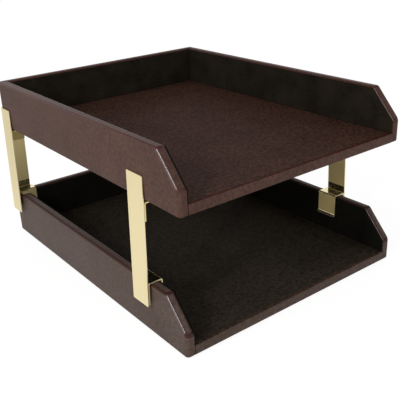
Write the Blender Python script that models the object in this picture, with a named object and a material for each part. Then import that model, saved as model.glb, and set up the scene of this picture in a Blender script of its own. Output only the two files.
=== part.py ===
"""Two-tier desk letter tray: leather-wrapped trays stacked on clip-on sheet-metal posts.

Metres, +Z up, front towards -Y. The origin is the middle of the lower felt pad's underside.
"""
import math

import bmesh
import bpy
from mathutils import Vector

# Tray sizes
TRAY_WIDTH = 0.258
TRAY_DEPTH = 0.325
WALL_HEIGHT = 0.0495
NOSE_HEIGHT = 0.021
SLOPE_RUN = 0.026
WALL_THICKNESS = 0.0082
FLOOR_THICKNESS = 0.0086
NOSE_RADIUS = 0.0034
LIP_RADIUS = 0.0014
EDGE_RADIUS = 0.001
TIER_PITCH = 0.126

# Skins, linings and pads
LEATHER = 0.0008
TURN_UNDER = 0.016
LINING_THICKNESS = 0.0014
LINING_SETBACK = 0.0013
FELT_THICKNESS = 0.0012
FELT_MARGIN = 0.003
FELT_CORNER = 0.004

# Brads
BRAD_RADIUS = 0.0007
BRAD_LENGTH = 0.016
BRAD_POINT = 0.0015
BRAD_TIP_SHARE = 0.15
BRAD_MARGIN = 0.055

# Posts
SHEET = 0.0012
POST_WIDTH = 0.0228
POST_FOOT = 0.0208
POST_HEAD = 0.0206
POST_CORNER = 0.001
FRONT_POST_SETBACK = {"left": 0.0582, "right": 0.0752}
ANGLE_BEND_RADIUS = 0.002
REAR_FLANGE = 0.0195
SHELF_BEND_RADIUS = 0.001
FRONT_SHELF_REACH = 0.013
SHELF_TAB = 0.0172
CLIP_BEND_RADIUS = 0.0004
CLIP_TAIL = 0.0215
LEG_LENGTH = 0.024
LEG_FLARE = 0.0016
LEG_FLARE_HEIGHT = 0.0024

# Fits
GAP = 0.0003
CLIP_CLEARANCE = 0.0004
LEG_SIDE_CLEARANCE = 0.0008

# Mesh resolution
ARC_STEPS = 4
RIM_SEGMENTS = 2
BRAD_SIDES = 8
CUT_OVERRUN = 0.002
SMALLEST_RADIUS = 0.0002
UPWARD_SHARE = 0.5
SMOOTH_ANGLE = math.radians(40)

# Places worked out from the sizes above
LOWER_BASE = FELT_THICKNESS + GAP
UPPER_BASE = LOWER_BASE + TIER_PITCH
LINED_WALL = WALL_THICKNESS + GAP + LINING_THICKNESS
BOARD_INSET = LEATHER + GAP
BOARD_INNER = WALL_THICKNESS - BOARD_INSET
RIM_RADIUS = min(EDGE_RADIUS, 2 * LEATHER)
MITRE_SETBACK = GAP / math.sqrt(2)
TAIL_INNER = -CLIP_CLEARANCE
TAIL_OUTER = TAIL_INNER - SHEET
STRAP_INNER = TAIL_OUTER - GAP
STRAP_OUTER = STRAP_INNER - SHEET
SADDLE_TOP = LOWER_BASE + WALL_HEIGHT + GAP + SHEET
SHELF_TOP = UPPER_BASE - GAP - FELT_THICKNESS - GAP
POST_BOTTOM = LOWER_BASE + WALL_HEIGHT - POST_FOOT
POST_TOP = UPPER_BASE + POST_HEAD
LEG_FACE = LINED_WALL + CLIP_CLEARANCE + SHEET

# Colour, roughness and metallic value of each finish
FINISHES = {
    "wrapped_leather": ((0.060, 0.034, 0.027), 0.42, 0.0),
    "dark_lining": ((0.016, 0.010, 0.008), 0.60, 0.0),
    "fibreboard": ((0.350, 0.235, 0.140), 0.80, 0.0),
    "felt": ((0.020, 0.016, 0.014), 0.95, 0.0),
    "polished_brass": ((0.870, 0.690, 0.330), 0.16, 1.0),
    "brad_steel": ((0.550, 0.550, 0.560), 0.35, 1.0),
}


def clear_scene():
    for obj in list(bpy.data.objects):
        bpy.data.objects.remove(obj, do_unlink=True)


def finish(name):
    """The Principled material of that name, made on first use."""
    material = bpy.data.materials.get(name)
    if material is None:
        colour, roughness, metallic = FINISHES[name]
        material = bpy.data.materials.new(name)
        material.use_nodes = True
        shader = material.node_tree.nodes["Principled BSDF"]
        shader.inputs["Base Color"].default_value = (*colour, 1.0)
        shader.inputs["Roughness"].default_value = roughness
        shader.inputs["Metallic"].default_value = metallic
    return material


def add_object(name, bm, finish_name, parent, recalculate=True):
    """Turn a bmesh into a named object under its parent empty."""
    if recalculate:
        bmesh.ops.recalc_face_normals(bm, faces=bm.faces)
    mesh = bpy.data.meshes.new(name)
    bm.to_mesh(mesh)
    bm.free()
    mesh.shade_smooth()
    mesh.set_sharp_from_angle(angle=SMOOTH_ANGLE)
    mesh.materials.append(finish(finish_name))
    obj = bpy.data.objects.new(name, mesh)
    bpy.context.collection.objects.link(obj)
    obj.parent = parent
    return obj


def add_empty(name, height):
    empty = bpy.data.objects.new(name, None)
    empty.location = (0.0, 0.0, height)
    bpy.context.collection.objects.link(empty)
    return empty


def cut(target, cutter):
    """Subtract a hidden cutter from a piece."""
    cutter.hide_render = True
    cutter.display_type = "WIRE"
    modifier = target.modifiers.new("cut_" + cutter.name, "BOOLEAN")
    modifier.operation = "DIFFERENCE"
    modifier.solver = "EXACT"
    modifier.object = cutter


def arc(centre, radius, start, end):
    """Points on an arc between two angles in degrees."""
    angles = [math.radians(start + (end - start) * i / ARC_STEPS) for i in range(ARC_STEPS + 1)]
    return [(centre[0] + radius * math.cos(a), centre[1] + radius * math.sin(a)) for a in angles]


def rounded_rectangle(half_x, half_y, radius):
    points = []
    for corner_x, corner_y, start in ((1, 1, 0), (-1, 1, 90), (-1, -1, 180), (1, -1, 270)):
        centre = (corner_x * (half_x - radius), corner_y * (half_y - radius))
        points += arc(centre, radius, start, start + 90)
    return points


def prism(outline, low, high, place):
    """Extrude a flat outline from low to high; place maps (a, b, level) to a point."""
    bm = bmesh.new()
    bottom = bm.faces.new([bm.verts.new(place(a, b, low)) for a, b in outline])
    extruded = bmesh.ops.extrude_face_region(bm, geom=[bottom], use_keep_orig=True)
    top = [item for item in extruded["geom"] if isinstance(item, bmesh.types.BMVert)]
    bmesh.ops.translate(bm, vec=place(0.0, 0.0, high) - place(0.0, 0.0, low), verts=top)
    bmesh.ops.recalc_face_normals(bm, faces=bm.faces)
    return bm


def box(low, high, place):
    outline = [(low[0], low[1]), (high[0], low[1]), (high[0], high[1]), (low[0], high[1])]
    return prism(outline, low[2], high[2], place)


def side_frame(side):
    """Map (in from the side's outer face, back from the front face, up) to tray coordinates."""
    sign = -1.0 if side == "left" else 1.0
    return lambda u, v, z: Vector((sign * (TRAY_WIDTH / 2 - u), v - TRAY_DEPTH / 2, z))


def rear_frame():
    """Map (in from the rear face, along the width from the middle, up) to tray coordinates."""
    return lambda u, w, z: Vector((w, TRAY_DEPTH / 2 - u, z))


def plain_frame():
    return lambda x, y, z: Vector((x, y, z))


def slope_drop(inset):
    """How far an inset copy of the sloped edge lies below the slope, measured upright."""
    grade = (WALL_HEIGHT - NOSE_HEIGHT) / SLOPE_RUN
    return inset * math.sqrt(1.0 + grade * grade), grade


def cut_slope(bm, inset, place):
    """Take off the front top corner of a side wall along its slope, set in by inset."""
    drop, grade = slope_drop(inset)
    foot = place(0.0, 0.0, NOSE_HEIGHT - drop)
    along = place(0.0, 1.0, NOSE_HEIGHT - drop + grade) - foot
    across = place(1.0, 0.0, NOSE_HEIGHT - drop) - foot
    normal = across.cross(along)
    if normal.z < 0.0:
        normal.negate()
    geometry = bm.verts[:] + bm.edges[:] + bm.faces[:]
    bmesh.ops.bisect_plane(bm, geom=geometry, plane_co=foot, plane_no=normal, clear_outer=True)
    rim = [edge for edge in bm.edges if edge.is_boundary]
    bmesh.ops.edgeloop_fill(bm, edges=rim)
    bmesh.ops.recalc_face_normals(bm, faces=bm.faces)


def side_wall_block(side, inset, rear_outer, rear_inner):
    """A side wall set in by inset all round, ending at two depths at the back."""
    place = side_frame(side)
    radius = max(min(NOSE_RADIUS, WALL_THICKNESS / 2) - inset, SMALLEST_RADIUS)
    inner = WALL_THICKNESS - inset
    nose = arc((inset + radius, inset + radius), radius, 180, 270)
    outline = nose + [(inner, inset), (inner, rear_inner), (inset, rear_outer)]
    bm = prism(outline, inset, WALL_HEIGHT - inset, place)
    cut_slope(bm, inset, place)
    return bm


def rear_wall_block(inset, half_outer, half_inner):
    outline = [(inset, -half_outer), (inset, half_outer),
               (WALL_THICKNESS - inset, half_inner), (WALL_THICKNESS - inset, -half_inner)]
    return prism(outline, inset, WALL_HEIGHT - inset, rear_frame())


def round_rims(bm, across):
    """Soften the long upper edges of a wrapped wall; across points through the wall."""
    rims = []
    for edge in bm.edges:
        run = edge.verts[1].co - edge.verts[0].co
        lower, upper = sorted(face.normal.z for face in edge.link_faces)
        along_wall = abs(run.dot(across)) < GAP
        if along_wall and run.length > NOSE_RADIUS and lower < UPWARD_SHARE < upper:
            rims.append(edge)
    bmesh.ops.bevel(bm, geom=rims, offset=RIM_RADIUS, segments=RIM_SEGMENTS, profile=0.5,
                    affect="EDGES", material=-1, clamp_overlap=True)


def side_cover(prefix, side, parent):
    """Leather wrapped over a side wall: open inside the wall's foot and at the mitre."""
    rear = TRAY_DEPTH - MITRE_SETBACK
    bm = side_wall_block(side, 0.0, rear, rear - WALL_THICKNESS)
    round_rims(bm, Vector((1.0, 0.0, 0.0)))
    cover = add_object(f"{prefix}_{side}_cover", bm, "wrapped_leather", parent)
    past = TRAY_DEPTH + CUT_OVERRUN
    pocket = side_wall_block(side, LEATHER, past, past)
    cut(cover, add_object(f"{prefix}_{side}_pocket", pocket, "wrapped_leather", parent))
    slot = box((WALL_THICKNESS - LEATHER - GAP, LEATHER, LEATHER),
               (WALL_THICKNESS + CUT_OVERRUN, past, FLOOR_THICKNESS + GAP), side_frame(side))
    cut(cover, add_object(f"{prefix}_{side}_slot", slot, "wrapped_leather", parent))


def rear_cover(prefix, parent):
    """Leather wrapped over the rear wall, mitred to both side covers."""
    half = TRAY_WIDTH / 2 - MITRE_SETBACK
    bm = rear_wall_block(0.0, half, half - WALL_THICKNESS)
    round_rims(bm, Vector((0.0, 1.0, 0.0)))
    cover = add_object(f"{prefix}_rear_cover", bm, "wrapped_leather", parent)
    past = TRAY_WIDTH / 2 + CUT_OVERRUN
    pocket = rear_wall_block(LEATHER, past, past)
    cut(cover, add_object(f"{prefix}_rear_pocket", pocket, "wrapped_leather", parent))
    slot = box((WALL_THICKNESS - LEATHER - GAP, -past, LEATHER),
               (WALL_THICKNESS + CUT_OVERRUN, past, FLOOR_THICKNESS + GAP), rear_frame())
    cut(cover, add_object(f"{prefix}_rear_slot", slot, "wrapped_leather", parent))


def lip_outline(inset, rear):
    """Front lip of the floor in section: (back from the front face, up), from foot to top."""
    radius = max(min(LIP_RADIUS, FLOOR_THICKNESS / 2) - inset, SMALLEST_RADIUS)
    top = FLOOR_THICKNESS - inset
    return ([(rear, inset), (inset + radius, inset)]
            + arc((inset + radius, inset + radius), radius, 270, 180)[1:]
            + arc((inset + radius, top - radius), radius, 180, 90))


def floor_cover(prefix, parent):
    """Leather over the floor, down over the lip and turned under it."""
    rear = TRAY_DEPTH - WALL_THICKNESS - GAP
    outer = lip_outline(0.0, TURN_UNDER) + [(rear, FLOOR_THICKNESS)]
    inner = lip_outline(LEATHER, TURN_UNDER) + [(rear, FLOOR_THICKNESS - LEATHER)]
    half = TRAY_WIDTH / 2 - WALL_THICKNESS - GAP
    bm = prism(outer + inner[::-1], -half, half, lambda v, z, x: Vector((x, v - TRAY_DEPTH / 2, z)))
    add_object(f"{prefix}_floor_cover", bm, "wrapped_leather", parent)


def brad_seats():
    """Where each brad starts, and its direction: boards pinned to the floor and at the back corners."""
    middle = FLOOR_THICKNESS / 2
    corner_height = (FLOOR_THICKNESS + WALL_HEIGHT) / 2
    seats = {}
    for side, sign in (("left", 1), ("right", -1)):
        place = side_frame(side)
        inward = Vector((sign, 0, 0))
        seats[f"{side}_front"] = (place(BOARD_INSET, BRAD_MARGIN, middle), inward)
        seats[f"{side}_rear"] = (place(BOARD_INSET, TRAY_DEPTH - BRAD_MARGIN, middle), inward)
        corner = place(BOARD_INSET, TRAY_DEPTH - WALL_THICKNESS / 2, corner_height)
        seats[f"{side}_corner"] = (corner, inward)
        across = sign * (BRAD_MARGIN - TRAY_WIDTH / 2)
        seats[f"rear_{side}"] = (rear_frame()(BOARD_INSET, across, middle), Vector((0, -1, 0)))
    return seats


def add_rod(bm, seat, radius, first, last):
    """A straight rod on a brad's line, from first to last behind the board's outer face."""
    start, direction = seat
    rod = bmesh.ops.create_cone(bm, cap_ends=True, segments=BRAD_SIDES, radius1=radius,
                                radius2=radius, depth=last - first)["verts"]
    turn = direction.to_track_quat("Z", "Y").to_matrix().to_4x4()
    bmesh.ops.transform(bm, matrix=turn, verts=rod)
    bmesh.ops.translate(bm, vec=start + direction * (first + last) / 2, verts=rod)


def brad(name, seat, parent):
    """A headless brad with a sharpened end."""
    bm = bmesh.new()
    direction = seat[1]
    add_rod(bm, seat, BRAD_RADIUS, GAP, BRAD_LENGTH - BRAD_POINT)
    cap = max(bm.faces, key=lambda face: face.calc_center_median().dot(direction))
    tip = bmesh.ops.extrude_discrete_faces(bm, faces=[cap])["faces"][0]
    bmesh.ops.translate(bm, vec=direction * BRAD_POINT, verts=tip.verts)
    centre = tip.calc_center_median()
    for vert in tip.verts:
        vert.co = centre.lerp(vert.co, BRAD_TIP_SHARE)
    add_object(name, bm, "brad_steel", parent)


def boards(prefix, parent):
    """The fibreboard cores, drilled for the brads that pin them together."""
    rear = TRAY_DEPTH - BOARD_INSET
    pieces = []
    for side in ("left", "right"):
        bm = side_wall_block(side, BOARD_INSET, rear, rear)
        pieces.append(add_object(f"{prefix}_{side}_board", bm, "fibreboard", parent))
    half = TRAY_WIDTH / 2 - BOARD_INNER - GAP
    bm = rear_wall_block(BOARD_INSET, half, half)
    pieces.append(add_object(f"{prefix}_rear_board", bm, "fibreboard", parent))
    floor_rear = TRAY_DEPTH - BOARD_INNER - GAP
    outline = lip_outline(BOARD_INSET, floor_rear) + [(floor_rear, FLOOR_THICKNESS - BOARD_INSET)]
    bm = prism(outline, -half, half, lambda v, z, x: Vector((x, v - TRAY_DEPTH / 2, z)))
    pieces.append(add_object(f"{prefix}_floor_board", bm, "fibreboard", parent))

    drill = bmesh.new()
    for name, seat in brad_seats().items():
        brad(f"{prefix}_{name}_brad", seat, parent)
        add_rod(drill, seat, BRAD_RADIUS + GAP, -GAP, BRAD_LENGTH + GAP)
    holes = add_object(f"{prefix}_brad_holes", drill, "brad_steel", parent)
    for piece in pieces:
        cut(piece, holes)


def linings(prefix, parent):
    """Thin wrapped panels inside the walls, a little below the rim and behind the front ends."""
    low = FLOOR_THICKNESS + GAP
    top = WALL_HEIGHT - LINING_SETBACK
    drop, grade = slope_drop(LINING_SETBACK)
    rear = TRAY_DEPTH - WALL_THICKNESS - GAP
    outline = [(LINING_SETBACK, low),
               (LINING_SETBACK, NOSE_HEIGHT + grade * LINING_SETBACK - drop),
               ((top - NOSE_HEIGHT + drop) / grade, top),
               (rear, top),
               (rear, low)]
    outer = WALL_THICKNESS + GAP
    for side in ("left", "right"):
        place = side_frame(side)
        bm = prism(outline, outer, LINED_WALL, lambda v, z, u: place(u, v, z))
        add_object(f"{prefix}_{side}_lining", bm, "dark_lining", parent)
    half = TRAY_WIDTH / 2 - LINED_WALL - GAP
    bm = box((outer, -half, low), (LINED_WALL, half, top), rear_frame())
    add_object(f"{prefix}_rear_lining", bm, "dark_lining", parent)


def felt_base(prefix, parent):
    outline = rounded_rectangle(TRAY_WIDTH / 2 - FELT_MARGIN, TRAY_DEPTH / 2 - FELT_MARGIN, FELT_CORNER)
    bm = prism(outline, -GAP - FELT_THICKNESS, -GAP, plain_frame())
    add_object(f"{prefix}_felt_base", bm, "felt", parent)


def tray(prefix, height):
    """One complete tray standing at the given height."""
    parent = add_empty(f"{prefix}_tray_frame", height)
    boards(prefix, parent)
    for side in ("left", "right"):
        side_cover(prefix, side, parent)
    rear_cover(prefix, parent)
    floor_cover(prefix, parent)
    linings(prefix, parent)
    felt_base(prefix, parent)


def shelf_path(reach):
    """The shelf's underside and its tab's inner face in section, as (in from the wall's outer face, up)."""
    low = SHELF_TOP - SHEET
    bend = arc((TAIL_INNER + SHELF_BEND_RADIUS, low - SHELF_BEND_RADIUS), SHELF_BEND_RADIUS, 90, 180)
    return [(reach, low)] + bend + [(TAIL_INNER, SHELF_TOP - SHELF_TAB)]


def clip_path():
    """The clip's outer side in section: its tail and saddle, and then its leg from the bend on."""
    turn = CLIP_BEND_RADIUS + SHEET
    bend_height = SADDLE_TOP - turn
    saddle = [(TAIL_OUTER, SADDLE_TOP - CLIP_TAIL)] + arc((TAIL_OUTER + turn, bend_height), turn, 180, 90)
    saddle += [(LEG_FACE - turn, SADDLE_TOP)]
    foot = SADDLE_TOP - LEG_LENGTH
    leg = arc((LEG_FACE - turn, bend_height), turn, 90, 0)[1:]
    leg += [(LEG_FACE, foot + LEG_FLARE_HEIGHT), (LEG_FACE + LEG_FLARE, foot)]
    return saddle, leg


def sheet_strip(bm, rows, stations, place, first_row=None):
    """Grow a strip of faces through rows of (u, z) points across the width stations."""
    previous = first_row
    for u, z in rows:
        row = [bm.verts.new(place(u, w, z)) for w in stations]
        if previous is not None:
            for i in range(len(stations) - 1):
                bm.faces.new((previous[i], previous[i + 1], row[i + 1], row[i]))
        previous = row
    return previous


def bent_sheet(name, bm, towards, parent):
    """Turn the strip's level face the given way, and give it its thickness on the other side."""
    bm.normal_update()
    level = max(bm.faces, key=lambda face: face.calc_area() * abs(face.normal.dot(towards)))
    if level.normal.dot(towards) < 0.0:
        bmesh.ops.reverse_faces(bm, faces=bm.faces)
    obj = add_object(name, bm, "polished_brass", parent, recalculate=False)
    thicken = obj.modifiers.new("sheet", "SOLIDIFY")
    thicken.thickness = SHEET
    thicken.offset = -1.0
    thicken.use_even_offset = True


def front_post(side, parent):
    """A flat strap outside the wall, with a shelf and a clip fixed to its inner face."""
    place = side_frame(side)
    middle = FRONT_POST_SETBACK[side]
    half_width = POST_WIDTH / 2
    half_height = (POST_TOP - POST_BOTTOM) / 2
    centre = (POST_TOP + POST_BOTTOM) / 2
    outline = rounded_rectangle(half_width, half_height, POST_CORNER)
    bm = prism(outline, STRAP_OUTER, STRAP_INNER, lambda w, z, u: place(u, middle + w, centre + z))
    add_object(f"front_{side}_strap", bm, "polished_brass", parent)
    stations = (middle - half_width, middle + half_width)
    bm = bmesh.new()
    sheet_strip(bm, shelf_path(FRONT_SHELF_REACH), stations, place)
    bent_sheet(f"front_{side}_shelf", bm, Vector((0, 0, -1)), parent)
    saddle, leg = clip_path()
    bm = bmesh.new()
    sheet_strip(bm, saddle + leg, stations, place)
    bent_sheet(f"front_{side}_clip", bm, Vector((0, 0, 1)), parent)


def rear_post(side, parent):
    """A corner angle round the tray's back corner, with a shelf and a clip that caps the corner."""
    sign = -1.0 if side == "left" else 1.0
    corner_x = TRAY_WIDTH / 2

    def place(u, w, z):
        """In from the rear face, in from the side's outer face, up."""
        return Vector((sign * (corner_x - w), TRAY_DEPTH / 2 - u, z))

    flange = STRAP_OUTER + POST_WIDTH
    bend = ANGLE_BEND_RADIUS
    centre = (STRAP_INNER + bend, STRAP_INNER + bend)
    outline = ([(flange, STRAP_OUTER), (flange, STRAP_INNER)]
               + arc(centre, bend, 270, 180)
               + [(STRAP_INNER, REAR_FLANGE), (STRAP_OUTER, REAR_FLANGE)]
               + arc(centre, bend + SHEET, 180, 270))
    bm = prism(outline, POST_BOTTOM, POST_TOP, place)
    add_object(f"rear_{side}_angle", bm, "polished_brass", parent)

    stations = (STRAP_INNER + bend, WALL_THICKNESS, LINED_WALL + LEG_SIDE_CLEARANCE, REAR_FLANGE)
    bm = bmesh.new()
    sheet_strip(bm, shelf_path(flange), (stations[0], stations[-1]), place)
    bent_sheet(f"rear_{side}_shelf", bm, Vector((0, 0, -1)), parent)
    saddle, leg = clip_path()
    bm = bmesh.new()
    last = sheet_strip(bm, saddle, stations, place)
    sheet_strip(bm, leg, stations[2:], place, first_row=last[2:])
    sheet_strip(bm, [(flange, SADDLE_TOP)], stations[:2], place, first_row=last[:2])
    bent_sheet(f"rear_{side}_clip", bm, Vector((0, 0, 1)), parent)


def posts():
    for side in ("left", "right"):
        front_post(side, add_empty(f"front_{side}_post_frame", 0.0))
        rear_post(side, add_empty(f"rear_{side}_post_frame", 0.0))


def main():
    clear_scene()
    tray("lower", LOWER_BASE)
    tray("upper", UPPER_BASE)
    posts()


main()
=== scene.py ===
"""Looks of a two-tier desk letter tray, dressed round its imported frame.

Metres, +Z up, open front towards -Y. Every piece is made where its frame node lies.
"""
import math

import bmesh
import bpy
from bpy.props import FloatProperty, FloatVectorProperty, PointerProperty
from mathutils import Matrix, Vector


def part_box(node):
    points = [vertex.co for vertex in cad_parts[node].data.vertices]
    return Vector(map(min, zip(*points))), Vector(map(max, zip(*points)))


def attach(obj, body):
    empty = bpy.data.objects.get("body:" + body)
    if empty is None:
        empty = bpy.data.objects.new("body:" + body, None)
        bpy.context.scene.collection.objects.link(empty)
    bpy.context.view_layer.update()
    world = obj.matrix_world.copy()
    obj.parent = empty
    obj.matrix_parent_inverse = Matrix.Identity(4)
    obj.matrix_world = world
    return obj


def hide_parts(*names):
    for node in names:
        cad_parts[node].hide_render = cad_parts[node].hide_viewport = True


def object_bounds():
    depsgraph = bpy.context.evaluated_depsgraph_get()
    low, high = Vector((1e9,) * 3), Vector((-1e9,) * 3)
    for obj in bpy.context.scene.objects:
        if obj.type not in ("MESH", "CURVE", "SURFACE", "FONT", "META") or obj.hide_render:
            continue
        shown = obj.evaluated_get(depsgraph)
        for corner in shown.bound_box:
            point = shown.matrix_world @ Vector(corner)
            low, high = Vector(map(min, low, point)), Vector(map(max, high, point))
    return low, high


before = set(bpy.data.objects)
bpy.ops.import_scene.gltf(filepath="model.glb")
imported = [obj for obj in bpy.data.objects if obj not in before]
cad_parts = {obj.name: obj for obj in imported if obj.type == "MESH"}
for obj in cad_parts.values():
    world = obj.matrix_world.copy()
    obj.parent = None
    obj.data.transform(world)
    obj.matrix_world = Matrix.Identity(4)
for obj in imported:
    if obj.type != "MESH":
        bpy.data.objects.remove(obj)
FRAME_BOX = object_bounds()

bl_info = {
    "name": "Letter Tray Looks",
    "version": (1, 0, 0),
    "blender": (4, 5, 0),
    "location": "View3D > Sidebar > Letter Tray",
    "description": "Dresses a two-tier desk letter tray in leather, lining, felt and brass",
    "category": "Object",
}

TIERS = ("lower", "upper")
SIDES = ("left", "right")
BOARDS = ("floor", "left", "right", "rear")
BRADS = ("left_front", "left_rear", "left_corner", "rear_left",
         "right_front", "right_rear", "right_corner", "rear_right")

# Sizes that the frame's boxes don't give
NOSE_HEIGHT = 0.021
SLOPE_RUN = 0.026
LEATHER = 0.0008
TURN_UNDER = 0.016
FIT_GAP = 0.0003
SLOT_START = 0.003
OVERRUN = 0.010
LINING_SETBACK = 0.0013
FELT_CORNER = 0.004
CLIP_GAP = 0.0004
CLIP_TAIL = 0.0215
LEG_LENGTH = 0.024
LEG_SIDE_GAP = 0.0008
FLARE = 0.0016
FLARE_HEIGHT = 0.0024
FLARE_BEND = 0.0006

# Steps in each rounded edge, and the angle from which an edge counts as sharp
FINE_STEPS = 4
BEND_STEPS = 8
SHARP = math.radians(25)

# Least share of a face's normal along a direction, for the face to count as looking that way
FORWARD = 0.03
RISING = 0.3
FACING = 0.5
LEVEL = 0.8
FLUSH = 0.999

# Most of a face's normal along a line, for the face to count as running with that line
ALONG = 0.05

# Places of a wrap's finishes in its list of materials. The rim and slope edge finishes take the edge colour,
# which is partly painted shade.
PLAIN, BURNISHED_AND_SHADED, WAXED_AND_SHADED = 0, 1, 2

# Places of the brass finishes in a post's list of materials
RAW, BUFFED, SATIN = 0, 1, 2

# Sheen of the waxed edges along the slopes
WAX = {"left": 1.0, "right": 0.4}

# Widths of the materials' patterns. Fibres, lines, strands and marks are drawn coarse enough to show
HIDE_DRIFT = 0.035
SUEDE_FIBRE = 0.0018
FELT_FIBRE = 0.0016
CLOTH_DRIFT = 0.025
ROLLED_LINE = 0.0016
ROLLED_RUN = 0.09
BOARD_STRAND = 0.0012
DIE_MARK = 0.0008

# Part of its range that a noise pattern mostly fills
NOISE_SPAN = {"From Min": 0.3, "From Max": 0.7}

# Upward shares of a ray between which the room dims in mirrors
DIM_FROM, DIM_TO = 0.40, 0.58

# Places towards the back between which the floor fades in mirrors, and how bright it is past them
FADE_FROM, FADE_TO, FADED = 0.05, 0.45, 0.76

# Strength of the floor's glowing share, which with the share that is lit comes to plain white
FLOOR_WHITE = 1.05
WHITE = (1, 1, 1, 1)


def linear(code, alpha=1.0):
    """An sRGB hex colour as linear light."""
    parts = [int(code[i:i + 2], 16) / 255 for i in (0, 2, 4)]
    light = [c / 12.92 if c <= 0.04045 else ((c + 0.055) / 1.055) ** 2.4 for c in parts]
    return (*light, alpha)


def colour(label, code, about):
    """A colour that a user can change."""
    return FloatVectorProperty(name=label, description=about, default=linear(code), size=4,
                               subtype="COLOR", min=0.0, max=1.0)


def length(label, metres, about):
    """A length that a user can change."""
    return FloatProperty(name=label, description=about, default=metres, min=0.0,
                         precision=5, subtype="DISTANCE", unit="LENGTH")


def share(label, value, about, most=1.0):
    """A share or strength that a user can change."""
    return FloatProperty(name=label, description=about, default=value, min=0.0, max=most, subtype="FACTOR")


class LeatherLooks(bpy.types.PropertyGroup):
    """Sizes and colours of the wrapped trays."""
    # Part of each hide colour's pale grey is painted sheen: it stands for the white surround's reflection
    # that the low specular level leaves out. The lower hide holds more of it
    upper_hide: colour("Upper hide", "4B362F", "Colour of the leather on the upper tray's walls and lip")
    lower_hide: colour("Lower hide", "4E403A", "Colour of the leather on the lower tray's walls and lip")
    # Both edge colours are partly the leather's own darker edge finish and partly painted shade: the rounded
    # rims and slope edges are painted darker for the dark surroundings they reflect, and the lower tray's
    # edges are darker again for the upper tray's shade
    upper_burnish_and_shade: colour("Upper edges", "432823", "Colour of the upper tray's leather where it is stretched")
    lower_burnish_and_shade: colour("Lower edges", "39231E", "Colour of the lower tray's leather where it is stretched")
    upper_floor: colour("Upper floor", "3A261F", "Colour of the leather on the upper tray's floor")
    lower_floor: colour("Lower floor", "2C261F", "Colour of the leather on the lower tray's floor")
    # The fold colours tint the floor just behind each lip. They are partly the leather drawn over the bend
    # and partly painted shade: the upper band is painted darker and the lower one paler, as the light falls
    # on each
    upper_fold: colour("Upper fold", "351510", "Colour of the upper floor's leather beside its lip")
    lower_fold: colour("Lower fold", "3C2A21", "Colour of the lower floor's leather beside its lip")
    upper_lining: colour("Upper lining", "1E1912", "Colour of the panels inside the upper tray's walls")
    lower_lining: colour("Lower lining", "0E0D08", "Colour of the panels inside the lower tray's walls")
    felt: colour("Felt", "1E1814", "Colour of the pad under each tray")
    edge: length("Edge round", 0.0021, "Radius of the rims and slopes")
    foot: length("Foot round", 0.0012, "Radius of the edges along a wall's foot and beside the lip")
    nose: length("Nose round", 0.0034, "Radius of the upright front corner of a wall")
    lip: length("Lip round", 0.0011, "Radius of the front lip's two edges")
    lining_edge: length("Lining edge", 0.0004, "Radius of the lining panels' edges")
    pebble: length("Pebble", 0.0022, "Width of the leather's grain, drawn coarse enough to show")
    fold_depth: length("Fold depth", 0.006, "How far the fold's colour reaches back from the lip")


class BrassLooks(bpy.types.PropertyGroup):
    """Sizes and colours of the posts."""
    metal: colour("Brass", "F1E3B6", "Colour of the polished brass")
    raw_metal: colour("Raw brass", "F1DDA2", "Colour of the faces that are left unpolished")
    # The rear shelves' darker brass is painted shade and painted dark reflection, for where they sit under
    # the upper tray
    shaded_shelf_metal: colour("Dull brass", "C9B478", "Colour of the rear shelves, which have darkened")
    edge: length("Sheared edge", 0.00022, "Radius of the sheet's edges")
    corner: length("Sheet corner", 0.0010, "Radius of the straps' and strips' corners")
    bend: length("Angle bend", 0.0020, "Inner radius of the corner angles' bend")
    shelf_bend: length("Shelf bend", 0.0010, "Inner radius of the shelves' bend")
    clip_bend: length("Clip bend", 0.0004, "Inner radius of the clips' bend between saddle and leg")
    tail_bend: length("Tail bend", 0.0001, "Inner radius of the clips' crisp fold behind the strap")
    front_raw: share("Front raw", 0.62, "Roughness of the front posts' faces that are left unpolished")
    rear_raw: share("Rear raw", 0.46, "Roughness of the rear posts' faces that are left unpolished")
    satin: share("Satin", 0.43, "Roughness of the straps and angles outside, and of the clips' sheared edges")
    buffed: share("Buffed", 0.16, "Roughness of the saddles and of the posts' feet inside")
    buffed_height: length("Buffed height", 0.0068, "How far up from the saddle a post is buffed inside")
    ripple: length("Ripple", 0.010, "Length of the slow waves left by bending and polishing")
    lean: FloatProperty(name="Lean", description="How far the posts lean in under the upper tray",
                        default=math.radians(1.7), min=0.0, max=math.radians(1.8),
                        subtype="ANGLE", unit="ROTATION")


class HiddenLooks(bpy.types.PropertyGroup):
    """Colours of what the covers hide."""
    fibreboard: colour("Fibreboard", "A0845F", "Colour of the boards inside the leather")
    steel: colour("Brad steel", "B4B4B6", "Colour of the brads")


class StageLooks(bpy.types.PropertyGroup):
    """Floor, light and camera."""
    floor: colour("Floor", "F6F6F5", "Colour of the floor")
    ambient: share("Ambient", 0.60, "Light from all round, at the height of the object", 4.0)
    overhead: share("Overhead", 0.92, "Light from straight above", 4.0)
    ceiling: share("Ceiling", 0.15, "How bright the dim upper part of the room is in reflections")
    key: FloatProperty(name="Key lights", description="Power of each of the two lamps on the left",
                       default=3.0, min=0.0, unit="POWER")
    glow: share("Floor glow", 0.85, "Share of the floor that shows white whatever shades it")
    lens: FloatProperty(name="Lens", description="Focal length", default=58.48, min=1.0,
                        subtype="DISTANCE_CAMERA", unit="CAMERA")


def add_node(tree, kind, inputs=None, **settings):
    """Add a shader node, give it its settings, and set or link its inputs."""
    made = tree.nodes.new(kind)
    for name, value in settings.items():
        setattr(made, name, value)
    for name, value in (inputs or {}).items():
        if isinstance(value, bpy.types.NodeSocket):
            tree.links.new(value, made.inputs[name])
        else:
            made.inputs[name].default_value = value
    return made


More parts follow.
